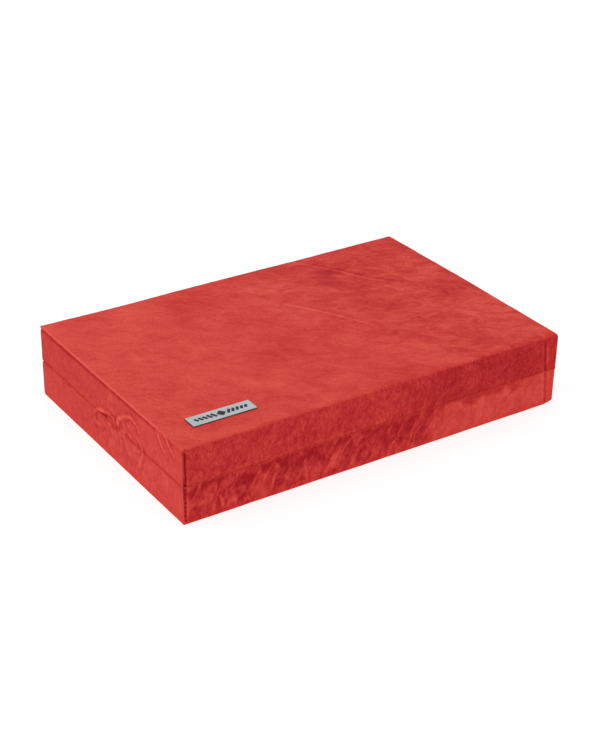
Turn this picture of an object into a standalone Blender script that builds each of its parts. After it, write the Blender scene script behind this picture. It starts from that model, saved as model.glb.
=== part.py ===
"""A velour-covered storage case with a hinged lid, holding a folded fire blanket.

The case stands on the floor plane z = 0. X runs along its length, Y from the front to the back.
The lid turns on two small butt hinges let into the back rims, about a line along X.
All values are in metres.
"""

import math

import bmesh
import bpy
from mathutils import Vector

# Driving dimensions
CASE_LENGTH = 0.420
CASE_DEPTH = 0.280
CASE_HEIGHT = 0.076
CLOTH = 0.0016  # velour with its pile pressed flat
BOARD = 0.005  # walls
PANEL = 0.004  # floor board and top board
LINING = 0.001  # on the walls
PAD_LINING = 0.0012  # on the floor and under the top
PADDING = 0.002  # foam under the velour of the top
BOTTOM_SHEET = 0.001
GAP = 0.0003  # between pieces that touch
SPLIT_GAP = 0.0006  # between the two closed rims
CORNER_RADIUS = 0.0025
TOP_EDGE_RADIUS = 0.003

# Hinges
HINGE_X = (-0.120, 0.120)
HINGE_LENGTH = 0.030
KNUCKLE_RADIUS = 0.0019
KNUCKLE_BORE = 0.0011
PIN_RADIUS = 0.00095
PIN_HEAD_RADIUS = 0.0015
PIN_HEAD = 0.0006
LEAF = 0.0008
HINGE_INSET = 0.0020  # from the back face to the axis
STOP_ANGLE = math.radians(100)  # the bevelled back rims meet here
SCREW_SPACING = 0.020
SCREW_LENGTH = 0.009
SCREW_RADIUS = 0.0006
SCREW_HEAD_RADIUS = 0.0012
SCREW_HEAD = 0.0009

# Magnetic catch
CATCH_X = (-0.120, 0.120)
CATCH_SIZE = (0.020, 0.003, 0.003)

# Contents: a 1.8 m square blanket, folded seven times one way and five the other
BLANKET_SIDE = 1.8
BLANKET_PANELS = (5, 7)
BLANKET_HEIGHT = 0.042
TAPE_X = (-0.100, 0.100)
TAPE_SIZE = (0.025, 0.110, 0.0015)

# Name plate
PLATE_SIZE = (0.065, 0.016, 0.0006)
PLATE_FROM_LEFT = 0.0277
PLATE_FROM_FRONT = 0.0281
ADHESIVE = 0.0003
PLATE_GAP = 0.0001

# Levels and faces that follow from those
X_OUT = CASE_LENGTH / 2
Y_OUT = CASE_DEPTH / 2
SPLIT = CASE_HEIGHT / 2
X_BOARD = X_OUT - CLOTH - GAP
Y_BOARD = Y_OUT - CLOTH - GAP
X_LINING = X_BOARD - BOARD - GAP
Y_LINING = Y_BOARD - BOARD - GAP
X_INSIDE = X_LINING - LINING
Y_INSIDE = Y_LINING - LINING
BASE_RIM = SPLIT - SPLIT_GAP / 2
LID_RIM = SPLIT + SPLIT_GAP / 2
BASE_WALL_TOP = BASE_RIM - CLOTH - GAP
LID_WALL_BOTTOM = LID_RIM + CLOTH + GAP
FLOOR_BOTTOM = BOTTOM_SHEET + GAP
FLOOR_TOP = FLOOR_BOTTOM + PANEL
BASE_LINING_TOP = FLOOR_TOP + GAP + PAD_LINING
COVER_TOP_INSIDE = CASE_HEIGHT - CLOTH
PADDING_TOP = COVER_TOP_INSIDE - GAP
PADDING_BOTTOM = PADDING_TOP - PADDING
TOP_BOARD_TOP = PADDING_BOTTOM - GAP
TOP_BOARD_BOTTOM = TOP_BOARD_TOP - PANEL
HINGE_AXIS = Vector((0.0, Y_OUT - HINGE_INSET, SPLIT))
BLANKET_TOP = BASE_LINING_TOP + GAP + BLANKET_HEIGHT


def clear_scene():
    for obj in list(bpy.data.objects):
        bpy.data.objects.remove(obj, do_unlink=True)


def new_collection(name, cutter=False):
    collection = bpy.data.collections.new(name)
    bpy.context.scene.collection.children.link(collection)
    collection.hide_render = cutter
    return collection


def material(name, color, roughness, metallic=0.0):
    made = bpy.data.materials.new(name)
    made.use_nodes = True
    shader = made.node_tree.nodes["Principled BSDF"]
    shader.inputs["Base Color"].default_value = (*color, 1.0)
    shader.inputs["Roughness"].default_value = roughness
    shader.inputs["Metallic"].default_value = metallic
    made.diffuse_color = (*color, 1.0)
    return made


clear_scene()
CASE = new_collection("fire_blanket_case")
CUTTERS = new_collection("cutters", cutter=True)
VELOUR = material("velour", (0.60, 0.045, 0.035), 0.95)
GREYBOARD = material("board", (0.45, 0.36, 0.27), 0.9)
VELVET_LINING = material("lining", (0.36, 0.02, 0.02), 0.95)
FELT = material("bottom_felt", (0.03, 0.03, 0.032), 0.95)
FOAM = material("foam", (0.75, 0.73, 0.66), 0.95)
HINGE_STEEL = material("hinge_steel", (0.55, 0.55, 0.56), 0.35, 1.0)
MAGNET = material("magnet", (0.35, 0.35, 0.37), 0.3, 1.0)
GLASS_CLOTH = material("glass_cloth", (0.80, 0.78, 0.72), 0.85)
WEBBING = material("webbing", (0.015, 0.015, 0.016), 0.9)
PLATE_METAL = material("plate_metal", (0.62, 0.63, 0.65), 0.3, 1.0)
ADHESIVE_FILM = material("adhesive", (0.05, 0.045, 0.045), 0.7)

LID_AXIS = bpy.data.objects.new("lid_axis", None)
LID_AXIS.location = HINGE_AXIS
CASE.objects.link(LID_AXIS)


def place(obj, name, surface, lid=False):
    """Names an object, gives it its material and puts it in the case's collection."""
    obj.name = name
    obj.data.name = name
    for collection in list(obj.users_collection):
        collection.objects.unlink(obj)
    CASE.objects.link(obj)
    obj.data.materials.clear()
    obj.data.materials.append(surface)
    if lid:
        obj.parent = LID_AXIS
        obj.location = obj.location - HINGE_AXIS
    return obj


def cube(low, high):
    """An upright box between two corners, with its scale applied."""
    low, high = Vector(low), Vector(high)
    bpy.ops.mesh.primitive_cube_add(size=1, location=(low + high) / 2)
    obj = bpy.context.active_object
    obj.scale = high - low
    bpy.ops.object.transform_apply(location=False, rotation=False, scale=True)
    return obj


def block(name, low, high, surface, lid=False):
    return place(cube(low, high), name, surface, lid)


def band(name, x_half, y_half, z_low, z_high, wall, surface, lid=False):
    """A rectangular ring: the four sides of a box, thickened inwards."""
    obj = cube((-x_half, -y_half, z_low), (x_half, y_half, z_high))
    mesh = bmesh.new()
    mesh.from_mesh(obj.data)
    flat = [face for face in mesh.faces if abs(face.normal.z) > 0.5]
    bmesh.ops.delete(mesh, geom=flat, context="FACES_ONLY")
    mesh.to_mesh(obj.data)
    mesh.free()
    shell = obj.modifiers.new("wall", "SOLIDIFY")
    shell.thickness = wall
    shell.offset = -1
    shell.use_even_offset = True
    return place(obj, name, surface, lid)


def round_edges(obj, radius, wanted):
    """Rounds the edges of a box that wanted(edge) picks."""
    mesh = bmesh.new()
    mesh.from_mesh(obj.data)
    picked = [edge for edge in mesh.edges if wanted(edge)]
    bmesh.ops.bevel(mesh, geom=picked, offset=radius, segments=3, profile=0.5, affect="EDGES", material=-1)
    mesh.to_mesh(obj.data)
    mesh.free()


def upright(edge):
    first, last = (vert.co for vert in edge.verts)
    return abs(first.z - last.z) > 0.01


def upright_or_top(edge):
    return upright(edge) or all(vert.co.z > 0 for vert in edge.verts)


def as_cutter(obj, name):
    obj.name = name
    obj.hide_render = True
    obj.display_type = "WIRE"
    for collection in list(obj.users_collection):
        collection.objects.unlink(obj)
    CUTTERS.objects.link(obj)
    return obj


def box_cutter(name, low, high):
    return as_cutter(cube(low, high), name)


def round_cutter(name, centre, radius, length, along_x=False):
    bpy.ops.mesh.primitive_cylinder_add(vertices=24, radius=radius, depth=length, location=centre)
    obj = bpy.context.active_object
    if along_x:
        obj.rotation_euler = (0, math.pi / 2, 0)
    return as_cutter(obj, name)


def cut(obj, *cutters):
    for cutter in cutters:
        boolean = obj.modifiers.new(cutter.name, "BOOLEAN")
        boolean.operation = "DIFFERENCE"
        boolean.solver = "EXACT"
        boolean.object = cutter


def turned(name, profile, centre, surface, along_x=False, lid=False):
    """A solid of revolution. The profile's (radius, height) points run from top to bottom."""
    mesh = bpy.data.meshes.new(name)
    steps = [(index, index + 1) for index in range(len(profile) - 1)]
    mesh.from_pydata([(radius, 0, height) for radius, height in profile], steps, [])
    obj = bpy.data.objects.new(name, mesh)
    bpy.context.scene.collection.objects.link(obj)
    obj.location = centre
    if along_x:
        obj.rotation_euler = (0, math.pi / 2, 0)
    spin = obj.modifiers.new("turn", "SCREW")
    spin.steps = 16
    spin.render_steps = 16
    spin.use_merge_vertices = True
    spin.merge_threshold = 0.00001
    return place(obj, name, surface, lid)


def opening_cutter(prefix, z_low, z_high):
    return box_cutter(f"cut_{prefix}_opening", (-X_INSIDE, -Y_INSIDE, z_low), (X_INSIDE, Y_INSIDE, z_high))


def hinge_notch(prefix, x_centre, index):
    """Room in both rims for one hinge, cut right through the turned-in cloth."""
    half = HINGE_LENGTH / 2 + PIN_HEAD + 2 * GAP + GAP
    low = (x_centre - half, Y_INSIDE - 0.002, BASE_WALL_TOP)
    high = (x_centre + half, Y_OUT + 0.005, LID_WALL_BOTTOM)
    return box_cutter(f"cut_{prefix}_hinge_{index}", low, high)


def back_bevel(prefix, rim, outward):
    """A slab lying on the bevel of the back rim. The two bevels meet when the lid is fully open."""
    slope = STOP_ANGLE / 2
    reach, thick = 0.008, 0.006
    bpy.ops.mesh.primitive_cube_add(size=1)
    obj = bpy.context.active_object
    obj.scale = (CASE_LENGTH + 0.02, reach, thick)
    bpy.ops.object.transform_apply(location=False, rotation=False, scale=True)
    along = Vector((0, math.cos(slope), outward * math.sin(slope)))
    away = Vector((0, math.sin(slope), -outward * math.cos(slope)))
    obj.rotation_euler = (outward * slope, 0, 0)
    obj.location = Vector((0, HINGE_AXIS.y, rim)) + along * reach / 2 + away * thick / 2
    return as_cutter(obj, f"cut_{prefix}_back_bevel")


def cover(name, z_low, z_high, inside_low, inside_high, opening, bevel, wanted, radius, lid=False):
    """The velour skin of one half: wrapped round the walls and turned in over the rim."""
    obj = cube((-X_OUT, -Y_OUT, z_low), (X_OUT, Y_OUT, z_high))
    round_edges(obj, radius, wanted)
    inside = (X_OUT - CLOTH, Y_OUT - CLOTH)
    hollow = box_cutter(f"cut_{name}_hollow", (-inside[0], -inside[1], inside_low), (*inside, inside_high))
    notches = [hinge_notch(name, x, index) for index, x in enumerate(HINGE_X)]
    cut(obj, hollow, opening, bevel, *notches)
    return place(obj, name, VELOUR, lid)


def walls(prefix, z_low, z_high, lid=False):
    """The four wall boards of one half. The side boards stand between the long ones."""
    y_in = Y_BOARD - BOARD
    x_in = X_BOARD - BOARD
    made = {}
    for side, low, high in (
        ("front", (-X_BOARD, -Y_BOARD), (X_BOARD, -y_in)),
        ("back", (-X_BOARD, y_in), (X_BOARD, Y_BOARD)),
        ("left", (-X_BOARD, -y_in + GAP), (-x_in, y_in - GAP)),
        ("right", (x_in, -y_in + GAP), (X_BOARD, y_in - GAP)),
    ):
        name = f"{prefix}_{side}_board"
        made[side] = block(name, (*low, z_low), (*high, z_high), GREYBOARD, lid)
    return made


# Base: bottom sheet, floor, walls, velour skin and lining
block("base_bottom_sheet", (-X_BOARD, -Y_BOARD, 0), (X_BOARD, Y_BOARD, BOTTOM_SHEET), FELT)
block("base_floor_board", (-X_BOARD, -Y_BOARD, FLOOR_BOTTOM), (X_BOARD, Y_BOARD, FLOOR_TOP), GREYBOARD)
base_walls = walls("base", FLOOR_TOP + GAP, BASE_WALL_TOP)
cover(
    "base_cover", GAP, BASE_RIM, -0.01, BASE_RIM - CLOTH,
    opening_cutter("base", 0.02, SPLIT + 0.01),
    back_bevel("base", BASE_RIM, -1),
    upright, CORNER_RADIUS,
)
band("base_wall_lining", X_LINING, Y_LINING, FLOOR_TOP + GAP, BASE_WALL_TOP, LINING, VELVET_LINING)
pad_half = (X_INSIDE - GAP, Y_INSIDE - GAP)
block(
    "base_floor_lining",
    (-pad_half[0], -pad_half[1], FLOOR_TOP + GAP),
    (*pad_half, BASE_LINING_TOP),
    VELVET_LINING,
)

# Lid: walls, top board, padding, velour skin and lining
lid_walls = walls("lid", LID_WALL_BOTTOM, TOP_BOARD_BOTTOM - GAP, lid=True)
block(
    "lid_top_board",
    (-X_BOARD, -Y_BOARD, TOP_BOARD_BOTTOM),
    (X_BOARD, Y_BOARD, TOP_BOARD_TOP),
    GREYBOARD,
    lid=True,
)
block(
    "lid_padding",
    (-X_BOARD, -Y_BOARD, PADDING_BOTTOM),
    (X_BOARD, Y_BOARD, PADDING_TOP),
    FOAM,
    lid=True,
)
cover(
    "lid_cover", LID_RIM, CASE_HEIGHT, LID_RIM + CLOTH, COVER_TOP_INSIDE,
    opening_cutter("lid", SPLIT - 0.01, SPLIT + 0.02),
    back_bevel("lid", LID_RIM, 1),
    upright_or_top, TOP_EDGE_RADIUS, lid=True,
)
band(
    "lid_wall_lining", X_LINING, Y_LINING, LID_WALL_BOTTOM, TOP_BOARD_BOTTOM - GAP, LINING, VELVET_LINING,
    lid=True,
)
block(
    "lid_top_lining",
    (-pad_half[0], -pad_half[1], TOP_BOARD_BOTTOM - GAP - PAD_LINING),
    (*pad_half, TOP_BOARD_BOTTOM - GAP),
    VELVET_LINING,
    lid=True,
)

# Magnetic catch: a bar magnet in the base's front board under a steel bar in the lid's
for x, side in zip(CATCH_X, ("left", "right")):
    y = -Y_BOARD + BOARD / 2
    half_x, half_y, height = CATCH_SIZE[0] / 2, CATCH_SIZE[1] / 2, CATCH_SIZE[2]
    for prefix, face, inward, surface, board, in_lid in (
        ("base_magnet", BASE_WALL_TOP, -1, MAGNET, base_walls["front"], False),
        ("lid_strike", LID_WALL_BOTTOM, 1, HINGE_STEEL, lid_walls["front"], True),
    ):
        bar = sorted((face, face + inward * height))
        block(
            f"{prefix}_{side}",
            (x - half_x, y - half_y, bar[0]),
            (x + half_x, y + half_y, bar[1]),
            surface,
            in_lid,
        )
        pocket = sorted((face - inward * 0.001, face + inward * (height + GAP)))
        cut(
            board,
            box_cutter(
                f"cut_{prefix}_{side}",
                (x - half_x - GAP, y - half_y - GAP, pocket[0]),
                (x + half_x + GAP, y + half_y + GAP, pocket[1]),
            ),
        )

# Hinges: two leaves, a pin and four screws each
LEAF_FRONT = Y_INSIDE + 0.0004
LEAF_BACK = HINGE_AXIS.y - 0.0006  # inside the knuckle's wall
SCREW_Y = LEAF_FRONT + 0.0024


def hinge_leaf(name, x_centre, knuckles, reliefs, side, lid=False):
    """One leaf: a plate joined to its own knuckles, and cut back round the other leaf's (the reliefs).
    side is -1 for the base's leaf, below the axis, and 1 for the lid's."""
    outer = SPLIT + side * KNUCKLE_RADIUS
    inner = SPLIT + side * (KNUCKLE_RADIUS - LEAF)
    low, high = sorted((outer, inner))
    obj = cube(
        (x_centre - HINGE_LENGTH / 2, LEAF_FRONT, low),
        (x_centre + HINGE_LENGTH / 2, LEAF_BACK, high),
    )
    for index, (start, end) in enumerate(reliefs):
        centre = (x_centre + (start + end) / 2, HINGE_AXIS.y, SPLIT)
        radius = KNUCKLE_RADIUS + GAP
        cut(obj, round_cutter(f"cut_{name}_relief_{index}", centre, radius, end - start, along_x=True))
    for index, (start, end) in enumerate(knuckles):
        centre = (x_centre + (start + end) / 2, HINGE_AXIS.y, SPLIT)
        ring = round_cutter(f"add_{name}_{index}", centre, KNUCKLE_RADIUS, end - start, along_x=True)
        union = obj.modifiers.new(ring.name, "BOOLEAN")
        union.operation = "UNION"
        union.solver = "EXACT"
        union.object = ring
    bore_centre = (x_centre, HINGE_AXIS.y, SPLIT)
    cut(obj, round_cutter(f"cut_{name}_bore", bore_centre, KNUCKLE_BORE, HINGE_LENGTH * 1.2, along_x=True))
    for index in (-1, 1):
        centre = (x_centre + index * SCREW_SPACING / 2, SCREW_Y, (outer + inner) / 2)
        cut(obj, round_cutter(f"cut_{name}_hole_{index}", centre, SCREW_HEAD_RADIUS + GAP, 4 * LEAF))
    return place(obj, name, HINGE_STEEL, lid)


def hinge_screws(prefix, first, x_centre, side, board, lid=False):
    """Two countersunk screws through a leaf into the back board."""
    head_face = SPLIT + side * (KNUCKLE_RADIUS - LEAF)
    for offset in (0, 1):
        x = x_centre + (offset - 0.5) * SCREW_SPACING
        profile = [
            (0, 0),
            (SCREW_HEAD_RADIUS, 0),
            (SCREW_RADIUS, -SCREW_HEAD),
            (SCREW_RADIUS, -SCREW_LENGTH + SCREW_RADIUS),
            (0, -SCREW_LENGTH),
        ]
        name = f"{prefix}_hinge_screw_{first + offset}"
        screw = turned(name, profile, (x, SCREW_Y, head_face), HINGE_STEEL, lid=lid)
        if side > 0:
            screw.rotation_euler = (math.pi, 0, 0)
        depth = head_face + side * (SCREW_LENGTH / 2 + GAP)
        cut(board, round_cutter(f"cut_{name}", (x, SCREW_Y, depth), SCREW_RADIUS + GAP, SCREW_LENGTH))


for index, (x, side) in enumerate(zip(HINGE_X, ("left", "right"))):
    end = HINGE_LENGTH / 2
    middle = HINGE_LENGTH / 6 - GAP / 2
    outer = middle + GAP
    past = end + GAP
    base_knuckles = [(-end, -outer), (outer, end)]
    hinge_leaf(f"base_hinge_leaf_{side}", x, base_knuckles, [(-outer, outer)], -1)
    lid_reliefs = [(-past, -middle), (middle, past)]
    hinge_leaf(f"lid_hinge_leaf_{side}", x, [(-middle, middle)], lid_reliefs, 1, lid=True)
    head = end + GAP
    turned(
        f"hinge_pin_{side}",
        [
            (0, head + PIN_HEAD),
            (PIN_HEAD_RADIUS, head + PIN_HEAD),
            (PIN_HEAD_RADIUS, head),
            (PIN_RADIUS, head),
            (PIN_RADIUS, -head),
            (PIN_HEAD_RADIUS, -head),
            (PIN_HEAD_RADIUS, -head - PIN_HEAD),
            (0, -head - PIN_HEAD),
        ],
        (x, HINGE_AXIS.y, SPLIT),
        HINGE_STEEL,
        along_x=True,
    )
    hinge_screws("base", 2 * index + 1, x, -1, base_walls["back"])
    hinge_screws("lid", 2 * index + 1, x, 1, lid_walls["back"], lid=True)

# Contents: the folded blanket and its two pull tapes
packet_half = (BLANKET_SIDE / BLANKET_PANELS[0] / 2, BLANKET_SIDE / BLANKET_PANELS[1] / 2)
block(
    "folded_blanket",
    (-packet_half[0], -packet_half[1], BASE_LINING_TOP + GAP),
    (*packet_half, BLANKET_TOP),
    GLASS_CLOTH,
)
for x, side in zip(TAPE_X, ("left", "right")):
    block(
        f"pull_tape_{side}",
        (x - TAPE_SIZE[0] / 2, -packet_half[1], BLANKET_TOP + GAP),
        (x + TAPE_SIZE[0] / 2, -packet_half[1] + TAPE_SIZE[1], BLANKET_TOP + GAP + TAPE_SIZE[2]),
        WEBBING,
    )

# Name plate, stuck to the top with a film of adhesive
plate_low = Vector((-X_OUT + PLATE_FROM_LEFT, -Y_OUT + PLATE_FROM_FRONT, CASE_HEIGHT + PLATE_GAP))
plate_high = plate_low + Vector((PLATE_SIZE[0], PLATE_SIZE[1], ADHESIVE))
block("label_adhesive", plate_low, plate_high, ADHESIVE_FILM, lid=True)
lift = Vector((0, 0, ADHESIVE + PLATE_GAP))
block(
    "label_plate",
    plate_low + lift,
    plate_low + lift + Vector(PLATE_SIZE),
    PLATE_METAL,
    lid=True,
)
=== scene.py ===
import math
import random

import bmesh
import bpy
from mathutils import Matrix, Vector, noise


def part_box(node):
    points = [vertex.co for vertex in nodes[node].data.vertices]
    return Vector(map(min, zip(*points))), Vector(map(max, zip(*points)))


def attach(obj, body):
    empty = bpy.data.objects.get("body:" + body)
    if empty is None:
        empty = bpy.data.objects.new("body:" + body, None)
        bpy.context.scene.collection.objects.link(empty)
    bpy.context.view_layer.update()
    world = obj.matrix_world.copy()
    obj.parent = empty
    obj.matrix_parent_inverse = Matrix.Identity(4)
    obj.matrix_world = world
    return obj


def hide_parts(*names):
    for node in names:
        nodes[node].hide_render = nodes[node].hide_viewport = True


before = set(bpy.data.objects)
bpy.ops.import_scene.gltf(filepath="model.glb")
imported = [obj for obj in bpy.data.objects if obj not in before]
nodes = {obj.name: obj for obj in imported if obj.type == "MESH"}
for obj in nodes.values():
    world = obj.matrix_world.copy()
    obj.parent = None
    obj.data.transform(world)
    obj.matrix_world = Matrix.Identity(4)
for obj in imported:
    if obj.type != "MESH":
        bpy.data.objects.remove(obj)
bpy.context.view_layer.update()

# ---------------------------------------------------------------------------
# Camera. It stands to the front left and a little above the case, tipped very
# slightly to one side, and aims a finger's width above the middle of the base.
CAMERA_AZIMUTH = math.radians(-33.56)
CAMERA_ELEVATION = math.radians(28.07)
CAMERA_ROLL = math.radians(0.83)
CAMERA_DISTANCE = 1.617
CAMERA_AIM = (0.0017, 0.0226)  # right and up of the origin, across the view
CAMERA_LENS = 78.1

back = Vector((
    math.sin(CAMERA_AZIMUTH) * math.cos(CAMERA_ELEVATION),
    -math.cos(CAMERA_AZIMUTH) * math.cos(CAMERA_ELEVATION),
    math.sin(CAMERA_ELEVATION),
))
right = Vector((math.cos(CAMERA_AZIMUTH), math.sin(CAMERA_AZIMUTH), 0))
level = Matrix((right, back.cross(right), back)).transposed()
turned = level @ Matrix.Rotation(CAMERA_ROLL, 3, "Z")
camera = bpy.data.objects.new("camera", bpy.data.cameras.new("camera"))
bpy.context.scene.collection.objects.link(camera)
camera.data.lens = CAMERA_LENS
camera.rotation_mode = "QUATERNION"
camera.rotation_quaternion = turned.to_quaternion()
camera.location = turned @ Vector((*CAMERA_AIM, CAMERA_DISTANCE))
bpy.context.scene.camera = camera

# ---------------------------------------------------------------------------
# Studio. A wide pale table, lit a little from below, under a soft white sky,
# with one big soft lamp high on the left and a weaker one over the front.
SKY_STRENGTH = 0.80
KEY_PLACE, KEY_SIZE, KEY_POWER = (-1.5, 0.6, 1.7), 1.6, 13.0
FILL_PLACE, FILL_SIZE, FILL_POWER = (0.8, -1.6, 2.0), 1.5, 3.0
FLOOR_SIZE = 30.0
FLOOR_PAINT, FLOOR_GLOW = 0.30, 0.78

world = bpy.data.worlds.new("sky")
bpy.context.scene.world = world
world.use_nodes = True
world.node_tree.nodes["Background"].inputs["Color"].default_value = (1, 1, 1, 1)
world.node_tree.nodes["Background"].inputs["Strength"].default_value = SKY_STRENGTH
bpy.context.scene.view_settings.view_transform = "Standard"

for lamp_name, place, size, power in (
    ("key", KEY_PLACE, KEY_SIZE, KEY_POWER),
    ("fill", FILL_PLACE, FILL_SIZE, FILL_POWER),
):
    lamp = bpy.data.objects.new(lamp_name, bpy.data.lights.new(lamp_name, "AREA"))
    bpy.context.scene.collection.objects.link(lamp)
    lamp.data.size = size
    lamp.data.energy = power
    lamp.location = place
    lamp.rotation_euler = (-Vector(place)).to_track_quat("-Z", "Y").to_euler()

floor_mesh = bmesh.new()
bmesh.ops.create_grid(floor_mesh, x_segments=1, y_segments=1, size=FLOOR_SIZE / 2)
floor_data = bpy.data.meshes.new("floor")
floor_mesh.to_mesh(floor_data)
floor_mesh.free()
floor = bpy.data.objects.new("floor", floor_data)
bpy.context.scene.collection.objects.link(floor)
floor.location.z = -0.0002
floor_paint = bpy.data.materials.new("floor")
floor_paint.use_nodes = True
floor_surface = floor_paint.node_tree.nodes["Principled BSDF"]
floor_surface.inputs["Base Color"].default_value = (FLOOR_PAINT, FLOOR_PAINT, FLOOR_PAINT, 1)
floor_surface.inputs["Emission Color"].default_value = (1, 1, 1, 1)
floor_surface.inputs["Emission Strength"].default_value = FLOOR_GLOW
floor_surface.inputs["Roughness"].default_value = 1.0
floor_surface.inputs["Specular IOR Level"].default_value = 0.0
floor.data.materials.append(floor_paint)

# ---------------------------------------------------------------------------
# Boards. The walls, the floor and the top of the case are sheets of greyboard,
# cut square and glued at their edges. The cloth hides them, but for a thin line
# of the floor board round the felt.
BOARD_COLOURS = ((0.33, 0.26, 0.19), (0.50, 0.41, 0.31))


def shader(name, roughness, **sockets):
    """A new material and its Principled shader, with the sockets given by name."""
    made = bpy.data.materials.new(name)
    made.use_nodes = True
    surface = made.node_tree.nodes["Principled BSDF"]
    surface.inputs["Roughness"].default_value = roughness
    for socket, value in sockets.items():
        surface.inputs[socket.replace("_", " ")].default_value = value
    return made, surface


def add(made, kind, **settings):
    """A node of a kind in a material, with its inputs or settings given by name."""
    node = made.node_tree.nodes.new(kind)
    for key, value in settings.items():
        if key in node.inputs:
            node.inputs[key].default_value = value
        else:
            setattr(node, key, value)
    return node


def join(made, start, end):
    made.node_tree.links.new(start, end)


def noise_at(made, scale, detail=3.0, stretch=(1, 1, 1), roughness=0.5, turn=(0, 0, 0), distortion=0.0):
    """Noise from 0 to 1, fixed to the piece, in cycles per metre. It is turned by the
    angles in degrees, and each of its own axes is stretched so many times."""
    where = add(made, "ShaderNodeTexCoord")
    mapping = add(made, "ShaderNodeMapping", vector_type="TEXTURE", Scale=stretch,
                  Rotation=[math.radians(angle) for angle in turn])
    pattern = add(made, "ShaderNodeTexNoise", Scale=scale, Detail=detail, Roughness=roughness,
                  Distortion=distortion)
    join(made, where.outputs["Object"], mapping.inputs["Vector"])
    join(made, mapping.outputs["Vector"], pattern.inputs["Vector"])
    return pattern.outputs["Fac"]


def reckon(made, operation, first, second, third=None):
    """A math node on two or three values, each a socket or a number."""
    node = add(made, "ShaderNodeMath", operation=operation)
    for socket, value in zip(node.inputs, (first, second, third)):
        if isinstance(value, (int, float)):
            socket.default_value = value
        elif value is not None:
            join(made, value, socket)
    return node.outputs["Value"]


def ramp(made, value, stops):
    """Colours along a value. The stops are (place, (red, green, blue))."""
    node = add(made, "ShaderNodeValToRGB")
    elements = node.color_ramp.elements
    while len(elements) < len(stops):
        elements.new(0.5)
    for element, (place, colour) in zip(elements, stops):
        element.position = place
        element.color = (*colour, 1)
    join(made, value, node.inputs["Fac"])
    return node.outputs["Color"]


def paint(made, surface, value, first, last, colours):
    """Colours a surface along a value, from one colour to the other."""
    join(made, ramp(made, value, ((first, colours[0]), (last, colours[1]))), surface.inputs["Base Color"])


def emboss(made, surface, height, strength, distance):
    node = add(made, "ShaderNodeBump", Strength=strength, Distance=distance)
    join(made, height, node.inputs["Height"])
    join(made, node.outputs["Normal"], surface.inputs["Normal"])


board_paper, board_surface = shader("greyboard", 0.9)
board_fibres = noise_at(board_paper, 700, 4)
paint(board_paper, board_surface, board_fibres, 0.3, 0.7, BOARD_COLOURS)
emboss(board_paper, board_surface, board_fibres, 0.3, 0.0003)


def dress(node_name, finish):
    """Gives a CAD node a finish."""
    nodes[node_name].data.materials.clear()
    nodes[node_name].data.materials.append(finish)


for node_name in nodes:
    if node_name.endswith("_board"):
        dress(node_name, board_paper)

# ---------------------------------------------------------------------------
# Catch and hinges. Bar magnets and steel strikes sit in the front boards. Two
# small butt hinges of plated steel at the back, leaves let into the walls' top
# edges, each held by countersunk screws and turning on its pin.
PLATED_COLOURS = ((0.46, 0.46, 0.47), (0.66, 0.66, 0.67))
MAGNET_COLOURS = ((0.36, 0.36, 0.37), (0.46, 0.46, 0.48))

plated, plated_surface = shader("plated_steel", 0.32, Metallic=1.0)
brushing = noise_at(plated, 900, 2, (12, 1, 1))
paint(plated, plated_surface, brushing, 0.3, 0.7, PLATED_COLOURS)
join(plated, reckon(plated, "MULTIPLY_ADD", brushing, 0.25, 0.2), plated_surface.inputs["Roughness"])
emboss(plated, plated_surface, brushing, 0.15, 0.0001)

magnet_plating, magnet_surface = shader("magnet_plating", 0.2, Metallic=1.0)
paint(magnet_plating, magnet_surface, noise_at(magnet_plating, 400), 0.3, 0.7, MAGNET_COLOURS)

for node_name in nodes:
    if "hinge" in node_name or "strike" in node_name:
        dress(node_name, plated)
    if "magnet" in node_name:
        dress(node_name, magnet_plating)

# ---------------------------------------------------------------------------
# Velour. A short brushed pile of red cotton. Where the pile leans away it is
# light and dusty, where it leans to the eye it is deep red. The lean is held in
# each piece's nap attribute, which also carries painted highlights on ridges and
# along the rims and painted shade in grooves and seams. "grain", "strokes" and
# "smudges" say how strongly the fibres, the strokes on the walls and the smudges
# on the top show, and "edge" where the cloth shows its full colour along the
# edges: partly where it is pulled tight round an edge, partly painted rim light.
NAP_AND_SHADING_STOPS = (
    (0.00, (0.340, 0.006, 0.010)),
    (0.30, (0.465, 0.020, 0.022)),
    (0.60, (0.590, 0.045, 0.036)),
    (1.00, (0.730, 0.094, 0.067)),
)
TIGHT_AND_RIM_LIT_CLOTH = (0.66, 0.026, 0.016)
PILE_LAYERS = ("nap_and_shading", "grain", "strokes", "smudges", "edge")

velour, velour_surface = shader("velour", 0.95, Sheen_Weight=0.12, Sheen_Roughness=0.45,
                                Sheen_Tint=(1.0, 0.45, 0.4, 1), Specular_IOR_Level=0.1)
held = {name: add(velour, "ShaderNodeAttribute", attribute_name=name).outputs["Fac"] for name in PILE_LAYERS}
pile = noise_at(velour, 900, 3, (1, 1, 2.3), 0.6)
tufts = noise_at(velour, 330, 3, (1, 1, 1.8), 0.6)
strokes = noise_at(velour, 105, 4, (1, 1, 1.9), 0.55, (0, 22, 0), 1.2)
smudges = noise_at(velour, 95, 5, (1.7, 1, 1), 0.62, (0, 0, -34), 1.0)


def swing(value, amount):
    """A 0 to 1 pattern turned to one that swings either way round 0."""
    return reckon(velour, "MULTIPLY_ADD", value, 2 * amount, -amount)


def shown(value, layer_name):
    return reckon(velour, "MULTIPLY", value, held[layer_name])


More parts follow.
